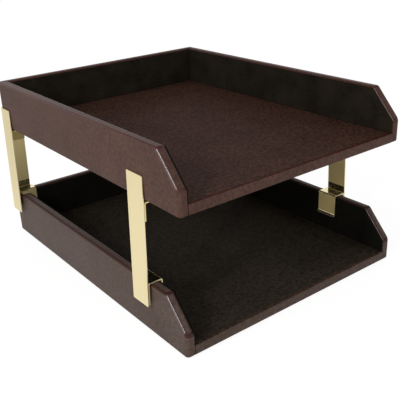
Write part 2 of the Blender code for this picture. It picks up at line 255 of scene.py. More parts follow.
def start_material(name, **values):
    """A Principled material with its uniform values set, and the place on the piece in metres."""
    material = bpy.data.materials.new(name)
    material.use_nodes = True
    tree = material.node_tree
    shader = tree.nodes["Principled BSDF"]
    for socket, value in values.items():
        shader.inputs[socket.replace("_", " ")].default_value = value
    place = add_node(tree, "ShaderNodeTexCoord").outputs["Object"]
    return material, tree, shader, place


def smooth_leather(name, dye, pebble, roughness, sheen, mottle, fold=None):
    """Pigmented calf, pressed smooth and glued over board.

    The eye gets a soft even sheen, a fine pebble in the gloss, and a slow drift in tone across the hide.
    mottle is how far the tone varies from pore to pore. fold gives a floor's front edge, how far back from
    it the leather is drawn over the bend, and the colour that it takes there, which is partly painted shade.
    """
    material, tree, shader, place = start_material(name, IOR=1.46)
    shader.inputs["Specular IOR Level"].default_value = sheen
    pore = 1.4 * pebble
    tone_play, gloss_play = 0.10, 0.06
    ground = dye[:3]
    # The band behind the lip is tinted to the fold colour: partly leather drawn over the bend, partly painted
    # shade
    if fold:
        front, depth, stretched_and_shaded = fold
        back = add_node(tree, "ShaderNodeSeparateXYZ", {"Vector": place}).outputs["Y"]
        near = add_node(tree, "ShaderNodeMapRange",
                        {"Value": back, "From Min": front + depth / 3, "From Max": front + depth,
                         "To Min": 1.0, "To Max": 0.0}, interpolation_type="SMOOTHSTEP")
        change = [to - start for start, to in zip(dye[:3], stretched_and_shaded[:3])]
        ground = add_node(tree, "ShaderNodeVectorMath", {0: change, 1: near.outputs[0], 2: dye[:3]},
                          operation="MULTIPLY_ADD").outputs[0]
    drift = add_node(tree, "ShaderNodeTexNoise", {"Vector": place, "Scale": 1 / HIDE_DRIFT, "Detail": 3.0})
    pores = add_node(tree, "ShaderNodeTexNoise", {"Vector": place, "Scale": 1 / pore, "Detail": 3.0})
    cells = add_node(tree, "ShaderNodeTexVoronoi", {"Vector": place, "Scale": 1 / pebble},
                     feature="DISTANCE_TO_EDGE")
    tone = add_node(tree, "ShaderNodeMapRange",
                    {"Value": drift.outputs["Fac"], **NOISE_SPAN,
                     "To Min": 1 - tone_play, "To Max": 1 + tone_play})
    speck = add_node(tree, "ShaderNodeMapRange",
                     {"Value": pores.outputs["Fac"], **NOISE_SPAN,
                      "To Min": 1 - mottle, "To Max": 1 + mottle})
    shade = add_node(tree, "ShaderNodeMath", {0: tone.outputs[0], 1: speck.outputs[0]}, operation="MULTIPLY")
    toned = add_node(tree, "ShaderNodeVectorMath", {0: ground, "Scale": shade.outputs[0]}, operation="SCALE")
    tree.links.new(toned.outputs[0], shader.inputs["Base Color"])
    dull = add_node(tree, "ShaderNodeMapRange",
                    {"Value": pores.outputs["Fac"],
                     "To Min": roughness - gloss_play, "To Max": roughness + gloss_play})
    tree.links.new(dull.outputs[0], shader.inputs["Roughness"])
    domes = add_node(tree, "ShaderNodeMath", {0: cells.outputs["Distance"], 1: 0.5}, operation="POWER")
    bump = add_node(tree, "ShaderNodeBump",
                    {"Height": domes.outputs[0], "Strength": 0.35, "Distance": 0.00012})
    tree.links.new(bump.outputs[0], shader.inputs["Normal"])
    return material


def napped_cloth(name, dye, fibre, roughness):
    """Brushed fibres, as on suede cloth and felt: no gloss, a short soft nap, a faint pale bloom."""
    material, tree, shader, place = start_material(name)
    shader.inputs["Specular IOR Level"].default_value = 0.08
    shader.inputs["Sheen Weight"].default_value = 0.05
    shader.inputs["Sheen Roughness"].default_value = 0.6
    shader.inputs["Sheen Tint"].default_value = dye
    nap = add_node(tree, "ShaderNodeTexNoise",
                   {"Vector": place, "Scale": 1 / fibre, "Detail": 4.0, "Roughness": 0.65, "Distortion": 0.4})
    drift = add_node(tree, "ShaderNodeTexNoise", {"Vector": place, "Scale": 1 / CLOTH_DRIFT, "Detail": 2.0})
    both = add_node(tree, "ShaderNodeMath", {0: nap.outputs["Fac"], 1: drift.outputs["Fac"]}, operation="ADD")
    tone = add_node(tree, "ShaderNodeMapRange",
                    {"Value": both.outputs[0], "From Min": 0.6, "From Max": 1.4,
                     "To Min": 0.35, "To Max": 1.65})
    toned = add_node(tree, "ShaderNodeVectorMath", {0: dye[:3], "Scale": tone.outputs[0]}, operation="SCALE")
    tree.links.new(toned.outputs[0], shader.inputs["Base Color"])
    shader.inputs["Roughness"].default_value = roughness
    bump = add_node(tree, "ShaderNodeBump",
                    {"Height": nap.outputs["Fac"], "Strength": 0.5, "Distance": fibre / 4})
    tree.links.new(bump.outputs[0], shader.inputs["Normal"])
    return material


def rolled_brass(name, looks, metal, roughness, lengthwise):
    """Rolled brass sheet, bent, polished and lacquered.

    The eye gets a pale gold mirror with slow waves in what it reflects, and faint lines along the strip.
    lengthwise is 1 on the axes that the strip runs along and 0 on those across it.
    """
    material, tree, shader, place = start_material(name, Metallic=1.0)
    gloss_play = 0.03
    stretch = [1 / ROLLED_RUN if run else 1 / ROLLED_LINE for run in lengthwise]
    drawn = add_node(tree, "ShaderNodeMapping", {"Vector": place, "Scale": stretch})
    lines = add_node(tree, "ShaderNodeTexNoise", {"Vector": drawn.outputs[0], "Scale": 1.0, "Detail": 3.0})
    waves = add_node(tree, "ShaderNodeTexNoise", {"Vector": place, "Scale": 1 / looks.ripple, "Detail": 1.0})
    tone = add_node(tree, "ShaderNodeMapRange",
                    {"Value": lines.outputs["Fac"], **NOISE_SPAN, "To Min": 0.97, "To Max": 1.02})
    toned = add_node(tree, "ShaderNodeVectorMath", {0: metal[:3], "Scale": tone.outputs[0]},
                     operation="SCALE")
    tree.links.new(toned.outputs[0], shader.inputs["Base Color"])
    dull = add_node(tree, "ShaderNodeMapRange",
                    {"Value": lines.outputs["Fac"], **NOISE_SPAN,
                     "To Min": roughness - gloss_play, "To Max": roughness + gloss_play})
    tree.links.new(dull.outputs[0], shader.inputs["Roughness"])
    swell = add_node(tree, "ShaderNodeBump",
                     {"Height": waves.outputs["Fac"], "Strength": 1.0, "Distance": 0.00012})
    tree.links.new(swell.outputs[0], shader.inputs["Normal"])
    return material


def fibreboard(looks):
    """Wood fibre pressed with resin: a matt tan face flecked with darker and paler strands."""
    material, tree, shader, place = start_material("pressed fibreboard", Roughness=0.8)
    strands = add_node(tree, "ShaderNodeTexNoise",
                       {"Vector": place, "Scale": 1 / BOARD_STRAND, "Detail": 5.0, "Distortion": 1.5})
    tone = add_node(tree, "ShaderNodeMapRange",
                    {"Value": strands.outputs["Fac"], **NOISE_SPAN, "To Min": 0.75, "To Max": 1.2})
    toned = add_node(tree, "ShaderNodeVectorMath",
                     {0: looks.fibreboard[:3], "Scale": tone.outputs[0]}, operation="SCALE")
    tree.links.new(toned.outputs[0], shader.inputs["Base Color"])
    bump = add_node(tree, "ShaderNodeBump",
                    {"Height": strands.outputs["Fac"], "Strength": 0.4, "Distance": 0.0002})
    tree.links.new(bump.outputs[0], shader.inputs["Normal"])
    return material


def drawn_steel(looks):
    """Bright steel wire: a grey satin metal with uneven gloss from the drawing die."""
    material, tree, shader, place = start_material("drawn steel wire", Metallic=1.0)
    shader.inputs["Base Color"].default_value = looks.steel
    marks = add_node(tree, "ShaderNodeTexNoise", {"Vector": place, "Scale": 1 / DIE_MARK, "Detail": 2.0})
    dull = add_node(tree, "ShaderNodeMapRange",
                    {"Value": marks.outputs["Fac"], "To Min": 0.22, "To Max": 0.42})
    tree.links.new(dull.outputs[0], shader.inputs["Roughness"])
    return material


def move_grown(bm, grown, run):
    """Move the vertices that an extrusion has made."""
    verts = [part for part in grown["geom"] if isinstance(part, bmesh.types.BMVert)]
    bmesh.ops.translate(bm, vec=run, verts=verts)


def start_block(outline, run):
    """A closed block: the flat outline, thickened along run."""
    bm = bmesh.new()
    face = bm.faces.new([bm.verts.new(point) for point in outline])
    grown = bmesh.ops.extrude_face_region(bm, geom=[face], use_keep_orig=True)
    move_grown(bm, grown, run)
    bmesh.ops.recalc_face_normals(bm, faces=bm.faces)
    return bm


def start_sheet(path, run):
    """A folded sheet: the path's straight lengths, widened along run."""
    bm = bmesh.new()
    verts = [bm.verts.new(point) for point in path]
    edges = [bm.edges.new(pair) for pair in zip(verts, verts[1:])]
    grown = bmesh.ops.extrude_edge_only(bm, edges=edges)
    move_grown(bm, grown, run)
    return bm


def point_faces(bm, towards):
    """Turn a sheet so that the largest face square to a direction points that way."""
    bmesh.ops.recalc_face_normals(bm, faces=bm.faces)
    main = max(bm.faces, key=lambda face: face.calc_area() * abs(face.normal.dot(towards)))
    if main.normal.dot(towards) < 0.0:
        bmesh.ops.reverse_faces(bm, faces=bm.faces)


def sharp_edges(bm):
    """Edges where two faces meet at more than a slight angle."""
    return [edge for edge in bm.edges if edge.is_manifold and edge.calc_face_angle() > SHARP]


def round_edges(bm, edges, radius, steps=FINE_STEPS, finish=PLAIN):
    """Round edges, and give the new faces a finish."""
    made = bmesh.ops.bevel(bm, geom=edges, offset=radius, offset_type="OFFSET", segments=steps,
                           profile=0.5, affect="EDGES", material=-1, clamp_overlap=False)
    for face in made["faces"]:
        face.material_index = finish


def split_faces(bm, chosen, point, normal):
    """Cut only the chosen faces by a plane."""
    parts = set(chosen)
    for face in chosen:
        parts.update(face.edges)
        parts.update(face.verts)
    bmesh.ops.bisect_plane(bm, geom=list(parts), plane_co=point, plane_no=normal)


def add_piece(name, bm, material, body, node, thickness=0.0, edge=0.0):
    """Make the piece, stand it for its frame node and let it ride on the node's body."""
    mesh = bpy.data.meshes.new(name)
    bm.to_mesh(mesh)
    bm.free()
    mesh.shade_smooth()
    mesh.materials.append(material)
    obj = bpy.data.objects.new(name, mesh)
    bpy.context.collection.objects.link(obj)
    if thickness:
        wall = obj.modifiers.new("thickness", "SOLIDIFY")
        wall.thickness = thickness
        wall.offset = -1.0
    if edge:
        softened = obj.modifiers.new("edges", "BEVEL")
        softened.width = edge
        softened.segments = 3
        softened.limit_method = "ANGLE"
        softened.angle_limit = math.radians(60)
    flats = obj.modifiers.new("flats", "WEIGHTED_NORMAL")
    flats.keep_sharp = True
    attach(obj, body)
    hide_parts(node)
    return obj


def wall_slot(tier):
    """Height under which a wall's wrap is open on the inside, for the floor board."""
    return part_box(f"{tier}_floor_cover")[1].z + FIT_GAP


def side_wrap(tier, side, looks):
    """Leather drawn over a side board, round its nose and slope, to the mitre at the back."""
    low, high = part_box(f"{tier}_{side}_cover")
    outer, inner = (low.x, high.x) if side == "left" else (high.x, low.x)
    inward = Vector((inner - outer, 0.0, 0.0))
    end = high.y + OVERRUN
    outline = [(outer, low.y, low.z), (outer, low.y, low.z + NOSE_HEIGHT),
               (outer, low.y + SLOPE_RUN, high.z), (outer, end, high.z), (outer, end, low.z)]
    bm = start_block(outline, inward)
    round_edges(bm, [edge for edge in bm.edges if lies_at(edge, x=outer, y=low.y)], looks.nose, BEND_STEPS)
    foot = [edge for edge in sharp_edges(bm)
            if lies_at(edge, x=inner, y=low.y)
            or lies_at(edge, z=low.z) and not lies_at(edge, x=inner) and not lies_at(edge, y=end)]
    round_edges(bm, foot, looks.foot)
    rim = [edge for edge in sharp_edges(bm)
           if max(v.co.z for v in edge.verts) > low.z + NOSE_HEIGHT - looks.foot and not lies_at(edge, y=end)]
    # Rim and slope edges take the edge colour, which is partly painted shade
    round_edges(bm, rim, looks.edge, BEND_STEPS, BURNISHED_AND_SHADED)
    slope = Vector((0.0, SLOPE_RUN, high.z - low.z - NOSE_HEIGHT)).normalized()
    for face in bm.faces:
        leans_left = face.normal.x < 0.0 and face.normal.y < -FORWARD
        if face.material_index == BURNISHED_AND_SHADED and leans_left and abs(face.normal.dot(slope)) < ALONG:
            face.material_index = WAXED_AND_SHADED
    cut_mitre(bm, (outer, high.y, 0.0), (math.copysign(1.0, inward.x), 1.0, 0.0))
    open_slot(bm, inward, wall_slot(tier), low.y + SLOT_START)
    return bm


def lies_at(edge, **place):
    """Whether an edge lies at the given x, y or z."""
    return all(abs(getattr(v.co, axis) - at) < FIT_GAP for v in edge.verts for axis, at in place.items())


def cut_mitre(bm, point, normal):
    """Cut off what lies beyond a mitre."""
    everything = bm.verts[:] + bm.edges[:] + bm.faces[:]
    bmesh.ops.bisect_plane(bm, geom=everything, plane_co=point, plane_no=normal, clear_outer=True)


def open_slot(bm, inward, top, front):
    """Open a wall's inner face below a height and behind a place, where the floor board comes in."""
    inward = inward.normalized()

    def inner_faces():
        return [face for face in bm.faces if face.normal.dot(inward) > FLUSH]

    split_faces(bm, inner_faces(), (0.0, front, 0.0), (0, 1, 0))
    split_faces(bm, inner_faces(), (0.0, 0.0, top), (0, 0, 1))
    slot = [face for face in inner_faces()
            if face.calc_center_median().z < top and face.calc_center_median().y > front]
    bmesh.ops.delete(bm, geom=slot, context="FACES")


def rear_wrap(tier, looks):
    """Leather drawn over the rear board, mitred to both side wraps."""
    low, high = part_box(f"{tier}_rear_cover")
    inward = Vector((0.0, low.y - high.y, 0.0))
    left, right = low.x - OVERRUN, high.x + OVERRUN
    outline = [(left, high.y, low.z), (left, high.y, high.z), (right, high.y, high.z), (right, high.y, low.z)]
    bm = start_block(outline, inward)
    round_edges(bm, [edge for edge in bm.edges if lies_at(edge, y=high.y, z=low.z)], looks.foot)
    rim = [edge for edge in bm.edges
           if lies_at(edge, z=high.z) and not lies_at(edge, x=left) and not lies_at(edge, x=right)]
    round_edges(bm, rim, looks.edge, BEND_STEPS, BURNISHED_AND_SHADED)
    cut_mitre(bm, (low.x, high.y, 0.0), (-1.0, -1.0, 0.0))
    cut_mitre(bm, (high.x, high.y, 0.0), (1.0, -1.0, 0.0))
    open_slot(bm, inward, wall_slot(tier), low.y - FIT_GAP)
    return bm


def floor_wrap(tier, looks):
    """Leather over the floor, down over the lip and turned under it."""
    low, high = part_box(f"{tier}_floor_cover")
    path = [(low.x, low.y + TURN_UNDER, low.z), (low.x, low.y, low.z),
            (low.x, low.y, high.z), (low.x, high.y, high.z)]
    bm = start_sheet(path, Vector((high.x - low.x, 0.0, 0.0)))
    point_faces(bm, Vector((0, 0, 1)))
    round_edges(bm, sharp_edges(bm), looks.lip, BEND_STEPS)
    return bm


def side_lining(tier, side, looks):
    """A thin panel glued inside a side wall, following its slope a little behind it."""
    low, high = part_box(f"{tier}_{side}_lining")
    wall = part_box(f"{tier}_{side}_cover")
    grade = (wall[1].z - wall[0].z - NOSE_HEIGHT) / SLOPE_RUN
    foot = wall[0].z + NOSE_HEIGHT + LINING_SETBACK * (grade - math.hypot(1.0, grade))
    outline = [(low.x, low.y, low.z), (low.x, low.y, foot), (low.x, low.y + (high.z - foot) / grade, high.z),
               (low.x, high.y, high.z), (low.x, high.y, low.z)]
    bm = start_block(outline, Vector((high.x - low.x, 0.0, 0.0)))
    round_edges(bm, sharp_edges(bm), looks.lining_edge)
    return bm


def rear_lining(tier, looks):
    """A thin panel glued inside the rear wall."""
    low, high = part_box(f"{tier}_rear_lining")
    outline = [(low.x, low.y, low.z), (low.x, low.y, high.z), (high.x, low.y, high.z), (high.x, low.y, low.z)]
    bm = start_block(outline, Vector((0.0, high.y - low.y, 0.0)))
    round_edges(bm, sharp_edges(bm), looks.lining_edge)
    return bm


def felt_pad(tier):
    """A felt pad with round corners and a soft cut edge."""
    low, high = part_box(f"{tier}_felt_base")
    outline = [(low.x, low.y, low.z), (high.x, low.y, low.z), (high.x, high.y, low.z), (low.x, high.y, low.z)]
    bm = start_block(outline, Vector((0.0, 0.0, high.z - low.z)))
    upright = [edge for edge in bm.edges if abs(edge.verts[0].co.z - edge.verts[1].co.z) > FIT_GAP]
    round_edges(bm, upright, FELT_CORNER, BEND_STEPS)
    round_edges(bm, sharp_edges(bm), FIT_GAP)
    return bm


def strap(side, looks):
    """A flat strap with slightly rounded corners and softened edges."""
    low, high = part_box(f"front_{side}_strap")
    outline = [(low.x, low.y, low.z), (low.x, high.y, low.z), (low.x, high.y, high.z), (low.x, low.y, high.z)]
    bm = start_block(outline, Vector((high.x - low.x, 0.0, 0.0)))
    corners = [edge for edge in bm.edges if abs(edge.verts[0].co.x - edge.verts[1].co.x) > FIT_GAP]
    round_edges(bm, corners, looks.corner, BEND_STEPS)
    round_edges(bm, sharp_edges(bm), looks.edge)
    split_faces(bm, bm.faces[:], (0.0, 0.0, buffed_top(looks)), (0, 0, 1))
    return bm


def buffed_top(looks):
    """Height up to which a post is buffed inside, above its clip's saddle."""
    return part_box("front_left_clip")[1].z + looks.buffed_height


def sheet_thickness():
    """Thickness of the brass sheet, as the frame has it."""
    low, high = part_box("front_left_strap")
    return high.x - low.x


def angle(side, looks):
    """A corner angle, bent from one strip round the tray's back corner."""
    low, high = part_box(f"rear_{side}_angle")
    outer, reach = (low.x, high.x) if side == "left" else (high.x, low.x)
    path = [(outer, low.y, low.z), (outer, high.y, low.z), (reach, high.y, low.z)]
    bm = start_sheet(path, Vector((0.0, 0.0, high.z - low.z)))
    point_faces(bm, Vector((0, 1, 0)))
    round_corners(bm, looks.corner)
    round_edges(bm, sharp_edges(bm), looks.bend + sheet_thickness(), BEND_STEPS)
    split_faces(bm, bm.faces[:], (0.0, 0.0, buffed_top(looks)), (0, 0, 1))
    return bm


def round_corners(bm, radius):
    """Round the free corners of a sheet."""
    corners = [vert for vert in bm.verts if len(vert.link_faces) == 1]
    bmesh.ops.bevel(bm, geom=corners, offset=radius, offset_type="OFFSET", segments=FINE_STEPS,
                    profile=0.5, affect="VERTICES", material=-1, clamp_overlap=True)


def lean_in(bm, side, looks, verts=None):
    """Lean a piece of a post, or some of its vertices, in at the top about the post's middle height."""
    low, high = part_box("front_left_strap")
    slope = math.tan(looks.lean) * (1.0 if side == "left" else -1.0)
    for vert in verts or bm.verts:
        vert.co.x += slope * (vert.co.z - (low.z + high.z) / 2)
    return bm


def front_shelf(side, looks):
    """A strip bent once: a shelf under the upper tray and a tab fixed to the strap."""
    low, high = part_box(f"front_{side}_shelf")
    sheet = sheet_thickness()
    tip, tab = (high.x, low.x + sheet) if side == "left" else (low.x, high.x - sheet)
    under = high.z - sheet
    path = [(tip, low.y, under), (tab, low.y, under), (tab, low.y, low.z)]
    return bend_shelf(start_sheet(path, Vector((0.0, high.y - low.y, 0.0))), looks)


def rear_shelf(side, looks):
    """As in front, fixed to the corner angle's rear flange."""
    low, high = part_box(f"rear_{side}_shelf")
    under, tab = high.z - sheet_thickness(), high.y - sheet_thickness()
    path = [(low.x, low.y, under), (low.x, tab, under), (low.x, tab, low.z)]
    return bend_shelf(start_sheet(path, Vector((high.x - low.x, 0.0, 0.0))), looks)


def bend_shelf(bm, looks):
    """Round a shelf's corners and its one bend."""
    point_faces(bm, Vector((0, 0, -1)))
    round_corners(bm, looks.corner)
    round_edges(bm, sharp_edges(bm), looks.shelf_bend, BEND_STEPS)
    return bm


def front_clip(side, looks):
    """A strip bent to a U: tail outside the lower wall, saddle on its rim and leg inside it."""
    low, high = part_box(f"front_{side}_clip")
    lining_low, lining_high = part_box(f"lower_{side}_lining")
    sheet, top = sheet_thickness(), high.z
    if side == "left":
        tail, leg, turn = low.x, lining_high.x + CLIP_GAP + sheet, 1.0
    else:
        tail, leg, turn = high.x, lining_low.x - CLIP_GAP - sheet, -1.0
    foot = top - LEG_LENGTH
    path = [(tail, low.y, top - CLIP_TAIL), (tail, low.y, top), (leg, low.y, top),
            (leg, low.y, foot + FLARE_HEIGHT), (leg + turn * FLARE, low.y, foot)]
    bm = start_sheet(path, Vector((0.0, high.y - low.y, 0.0)))
    lean_in(bm, side, looks, [vert for vert in bm.verts if abs(vert.co.x - tail) < FIT_GAP])
    point_faces(bm, Vector((0, 0, 1)))
    round_corners(bm, looks.corner)
    return bend_clip(bm, top, Vector((turn, 0.0, 0.0)), looks)


def rear_clip(side, looks):
    """As in front, over the rear wall, with a narrower leg and a tab of the saddle along the side wall."""
    low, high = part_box(f"rear_{side}_clip")
    sheet, top = sheet_thickness(), high.z
    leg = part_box("lower_rear_lining")[0].y - CLIP_GAP - sheet
    wall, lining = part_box(f"lower_{side}_cover"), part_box(f"lower_{side}_lining")
    if side == "left":
        outer, run, tab_end, leg_start = low.x, high.x - low.x, wall[1].x, lining[1].x + LEG_SIDE_GAP
    else:
        outer, run, tab_end, leg_start = high.x, low.x - high.x, wall[0].x, lining[0].x - LEG_SIDE_GAP
    foot = top - LEG_LENGTH
    path = [(outer, high.y, top - CLIP_TAIL), (outer, high.y, top), (outer, leg, top),
            (outer, leg, foot + FLARE_HEIGHT), (outer, leg - FLARE, foot)]
    bm = start_sheet(path, Vector((run, 0.0, 0.0)))
    for cut in (tab_end, leg_start):
        split_faces(bm, bm.faces[:], (cut, 0.0, 0.0), (1, 0, 0))
    middles = {face: face.calc_center_median() for face in bm.faces}
    beside_leg = [face for face, middle in middles.items()
                  if middle.z < top - FIT_GAP and middle.y < leg + FIT_GAP
                  and abs(middle.x - outer) < abs(leg_start - outer)]
    bmesh.ops.delete(bm, geom=beside_leg, context="FACES")
    tab = [edge for edge in bm.edges
           if lies_at(edge, y=leg, z=top)
           and abs(sum(v.co.x for v in edge.verts) / 2 - outer) < abs(tab_end - outer)]
    grown = bmesh.ops.extrude_edge_only(bm, edges=tab)
    move_grown(bm, grown, Vector((0.0, low.y - leg, 0.0)))
    point_faces(bm, Vector((0, 0, 1)))
    return bend_clip(bm, top, Vector((0.0, -1.0, 0.0)), looks)


def bend_clip(bm, top, inward, looks):
    """Round the folds along the saddle, crisper at the tail, and the one above the leg's flared foot."""
    folds = sharp_edges(bm)
    at_saddle = [edge for edge in folds if lies_at(edge, z=top)]
    at_tail = [edge for edge in at_saddle
               if any(face.normal.dot(inward) < -FACING for face in edge.link_faces)]
    at_leg = [edge for edge in at_saddle if edge not in at_tail]
    at_foot = [edge for edge in folds if edge not in at_saddle]
    round_edges(bm, at_foot, FLARE_BEND, BEND_STEPS)
    round_edges(bm, at_tail, looks.tail_bend + sheet_thickness(), BEND_STEPS)
    round_edges(bm, at_leg, looks.clip_bend + sheet_thickness(), BEND_STEPS)
    return bm


def brass_finishes(end, looks, lengthwise):
    """A post's three finishes, in the order of their places: raw, buffed bright, and satin."""
    unpolished = getattr(looks, f"{end}_raw")
    return [rolled_brass(f"raw brass, {end} posts", looks, looks.raw_metal, unpolished, lengthwise),
            rolled_brass(f"buffed brass, {end} posts", looks, looks.metal, looks.buffed, lengthwise),
            rolled_brass(f"satin brass, {end} posts", looks, looks.metal, looks.satin, lengthwise)]


def finish_faces(piece, finishes, inward, buffed_below=0.0):
    """Finish a piece that already has the first finish: raw where it looks into the tray, satin elsewhere.

    Of what looks into the tray, it is buffed where it rises or lies below the height given. Where no
    height is given, it is also buffed on top.
    """
    for finish in finishes[1:]:
        piece.data.materials.append(finish)
    for face in piece.data.polygons:
        if face.normal.dot(inward) > FACING:
            buffed = face.center.z < buffed_below or face.normal.z > RISING
            face.material_index = BUFFED if buffed else RAW
        else:
            buffed = face.normal.z > LEVEL and not buffed_below
            face.material_index = BUFFED if buffed else SATIN


def finish_clip(clip, finishes, inward):
    """Finish a clip's faces, and its sheared edges in satin all round."""
    finish_faces(clip, finishes, inward)
    clip.modifiers["thickness"].material_offset_rim = SATIN


def finish_angle(corner, finishes, looks):
    """Satin outside. Inside, the thickness modifier takes the finish two places on: raw, or buffed below."""
    outside = [finishes[SATIN], finishes[SATIN]]
    inside = [finishes[RAW], finishes[BUFFED]]
    for finish in outside[1:] + inside:
        corner.data.materials.append(finish)
    corner.modifiers["thickness"].material_offset = len(outside)
    for face in corner.data.polygons:
        face.material_index = int(face.center.z < buffed_top(looks))


class TrayOperator:
    """What every operator of this add-on shares."""
    bl_options = {"REGISTER", "UNDO"}


class LETTERTRAY_OT_hidden(TrayOperator, bpy.types.Operator):
    """Give the boards and brads under the leather their own finish"""
    bl_idname = "letter_tray.hidden"
    bl_label = "Boards and Brads"

    def execute(self, context):
        looks = context.scene.letter_tray_hidden
        board, steel = fibreboard(looks), drawn_steel(looks)
        for tier in TIERS:
            for name in BOARDS:
                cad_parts[f"{tier}_{name}_board"].data.materials[0] = board
            for name in BRADS:
                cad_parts[f"{tier}_{name}_brad"].data.materials[0] = steel
        return {"FINISHED"}


class LETTERTRAY_OT_wraps(TrayOperator, bpy.types.Operator):
    """Wrap the walls and floors of both trays in leather"""
    bl_idname = "letter_tray.wraps"
    bl_label = "Leather Wraps"

    def execute(self, context):
        looks = context.scene.letter_tray_leather
        for tier in TIERS:
            body = f"{tier}_tray"
            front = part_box(f"{tier}_floor_cover")[0].y
            # The edge colour for rims and slope edges is partly the leather's darker edge finish and partly
            # painted shade
            stretched_and_shaded = getattr(looks, f"{tier}_burnish_and_shade")
            fold = (front, looks.fold_depth, getattr(looks, f"{tier}_fold"))
            # The hide colour holds part of the leather's sheen as painted sheen, beside the low specular
            # level set here
            hide = smooth_leather(f"smooth pigmented calf, {tier} tray", getattr(looks, f"{tier}_hide"),
                                  looks.pebble, roughness=0.38, sheen=0.06, mottle=0.25)
            floor = smooth_leather(f"matt floor calf, {tier} tray", getattr(looks, f"{tier}_floor"),
                                   looks.pebble, roughness=0.66, sheen=0.06, mottle=0.5, fold=fold)
            dull = smooth_leather(f"burnished calf, {tier} tray", stretched_and_shaded,
                                  looks.pebble, roughness=0.40, sheen=0.12, mottle=0.2)
            for side in SIDES:
                wrap = add_piece(f"{tier}_{side}_wrap", side_wrap(tier, side, looks), hide, body,
                                 f"{tier}_{side}_cover", LEATHER)
                rim = dull
                if tier == "upper" and side == "left":
                    rim = smooth_leather("handled calf rim", stretched_and_shaded,
                                         looks.pebble, roughness=0.26, sheen=0.22, mottle=0.2)
                waxed = smooth_leather(f"waxed calf, {tier} {side} slope", stretched_and_shaded,
                                       looks.pebble, roughness=0.30, sheen=WAX[side], mottle=0.2)
                wrap.data.materials.append(rim)
                wrap.data.materials.append(waxed)
            wrap = add_piece(f"{tier}_rear_wrap", rear_wrap(tier, looks), hide, body,
                             f"{tier}_rear_cover", LEATHER)
            wrap.data.materials.append(dull)
            wrap = add_piece(f"{tier}_floor_wrap", floor_wrap(tier, looks), floor, body,
                             f"{tier}_floor_cover", LEATHER)
            wrap.data.materials.append(hide)
            for face in wrap.data.polygons:
                face.material_index = int(face.center.y < front + looks.lip + FIT_GAP)
        return {"FINISHED"}


class LETTERTRAY_OT_linings(TrayOperator, bpy.types.Operator):
    """Line the walls of both trays"""
    bl_idname = "letter_tray.linings"
    bl_label = "Wall Linings"

    def execute(self, context):
        looks = context.scene.letter_tray_leather
        for tier in TIERS:
            body = f"{tier}_tray"
            lining = napped_cloth(f"brushed suede lining, {tier} tray", getattr(looks, f"{tier}_lining"),
                                  SUEDE_FIBRE, roughness=0.9)
            for side in SIDES:
                add_piece(f"{tier}_{side}_panel", side_lining(tier, side, looks), lining, body,
                          f"{tier}_{side}_lining")
            add_piece(f"{tier}_rear_panel", rear_lining(tier, looks), lining, body,
                      f"{tier}_rear_lining")
        return {"FINISHED"}


class LETTERTRAY_OT_pads(TrayOperator, bpy.types.Operator):
    """Put a felt pad under each tray"""
    bl_idname = "letter_tray.pads"
    bl_label = "Felt Pads"

    def execute(self, context):
        looks = context.scene.letter_tray_leather
        felt = napped_cloth("pressed wool felt", looks.felt, FELT_FIBRE, roughness=0.95)
        for tier in TIERS:
            add_piece(f"{tier}_felt_pad", felt_pad(tier), felt, f"{tier}_tray", f"{tier}_felt_base")
        return {"FINISHED"}


class LETTERTRAY_OT_front_posts(TrayOperator, bpy.types.Operator):
    """Make the front posts' straps, shelves and clips"""
    bl_idname = "letter_tray.front_posts"
    bl_label = "Front Posts"

    def execute(self, context):
        looks = context.scene.letter_tray_brass
        up_and_over = (1, 0, 1)
        finishes = brass_finishes("front", looks, up_and_over)
        for side in SIDES:
            body = f"front_{side}_post"
            inward = Vector((1.0 if side == "left" else -1.0, 0.0, 0.0))
            flat = add_piece(f"front_{side}_flat_strap", lean_in(strap(side, looks), side, looks),
                             finishes[RAW], body, f"front_{side}_strap")
            finish_faces(flat, finishes, inward, buffed_top(looks))
            add_piece(f"front_{side}_bent_shelf", lean_in(front_shelf(side, looks), side, looks),
                      finishes[RAW], body, f"front_{side}_shelf", sheet_thickness(), looks.edge)
            clip = add_piece(f"front_{side}_spring_clip", front_clip(side, looks), finishes[RAW],
                             body, f"front_{side}_clip", sheet_thickness(), looks.edge)
            finish_clip(clip, finishes, inward)
        return {"FINISHED"}


class LETTERTRAY_OT_rear_posts(TrayOperator, bpy.types.Operator):
    """Make the rear posts' corner angles, shelves and clips"""
    bl_idname = "letter_tray.rear_posts"
    bl_label = "Rear Posts"

    def execute(self, context):
        looks = context.scene.letter_tray_brass
        upright = (0, 0, 1)
        finishes = brass_finishes("rear", looks, upright)
        # The rear shelves' darker brass is painted shade and painted dark reflection from under the upper
        # tray
        dull = rolled_brass("dull brass, rear shelves", looks, looks.shaded_shelf_metal, looks.front_raw, upright)
        inward = Vector((0.0, -1.0, 0.0))
        for side in SIDES:
            body = f"rear_{side}_post"
            corner = add_piece(f"rear_{side}_corner_angle", lean_in(angle(side, looks), side, looks),
                               finishes[SATIN], body, f"rear_{side}_angle",
                               sheet_thickness(), looks.edge)
            finish_angle(corner, finishes, looks)
            add_piece(f"rear_{side}_bent_shelf", lean_in(rear_shelf(side, looks), side, looks),
                      dull, body, f"rear_{side}_shelf", sheet_thickness(), looks.edge)
            clip = add_piece(f"rear_{side}_spring_clip", rear_clip(side, looks), finishes[RAW],
                             body, f"rear_{side}_clip", sheet_thickness(), looks.edge)
            finish_clip(clip, finishes, inward)
        return {"FINISHED"}


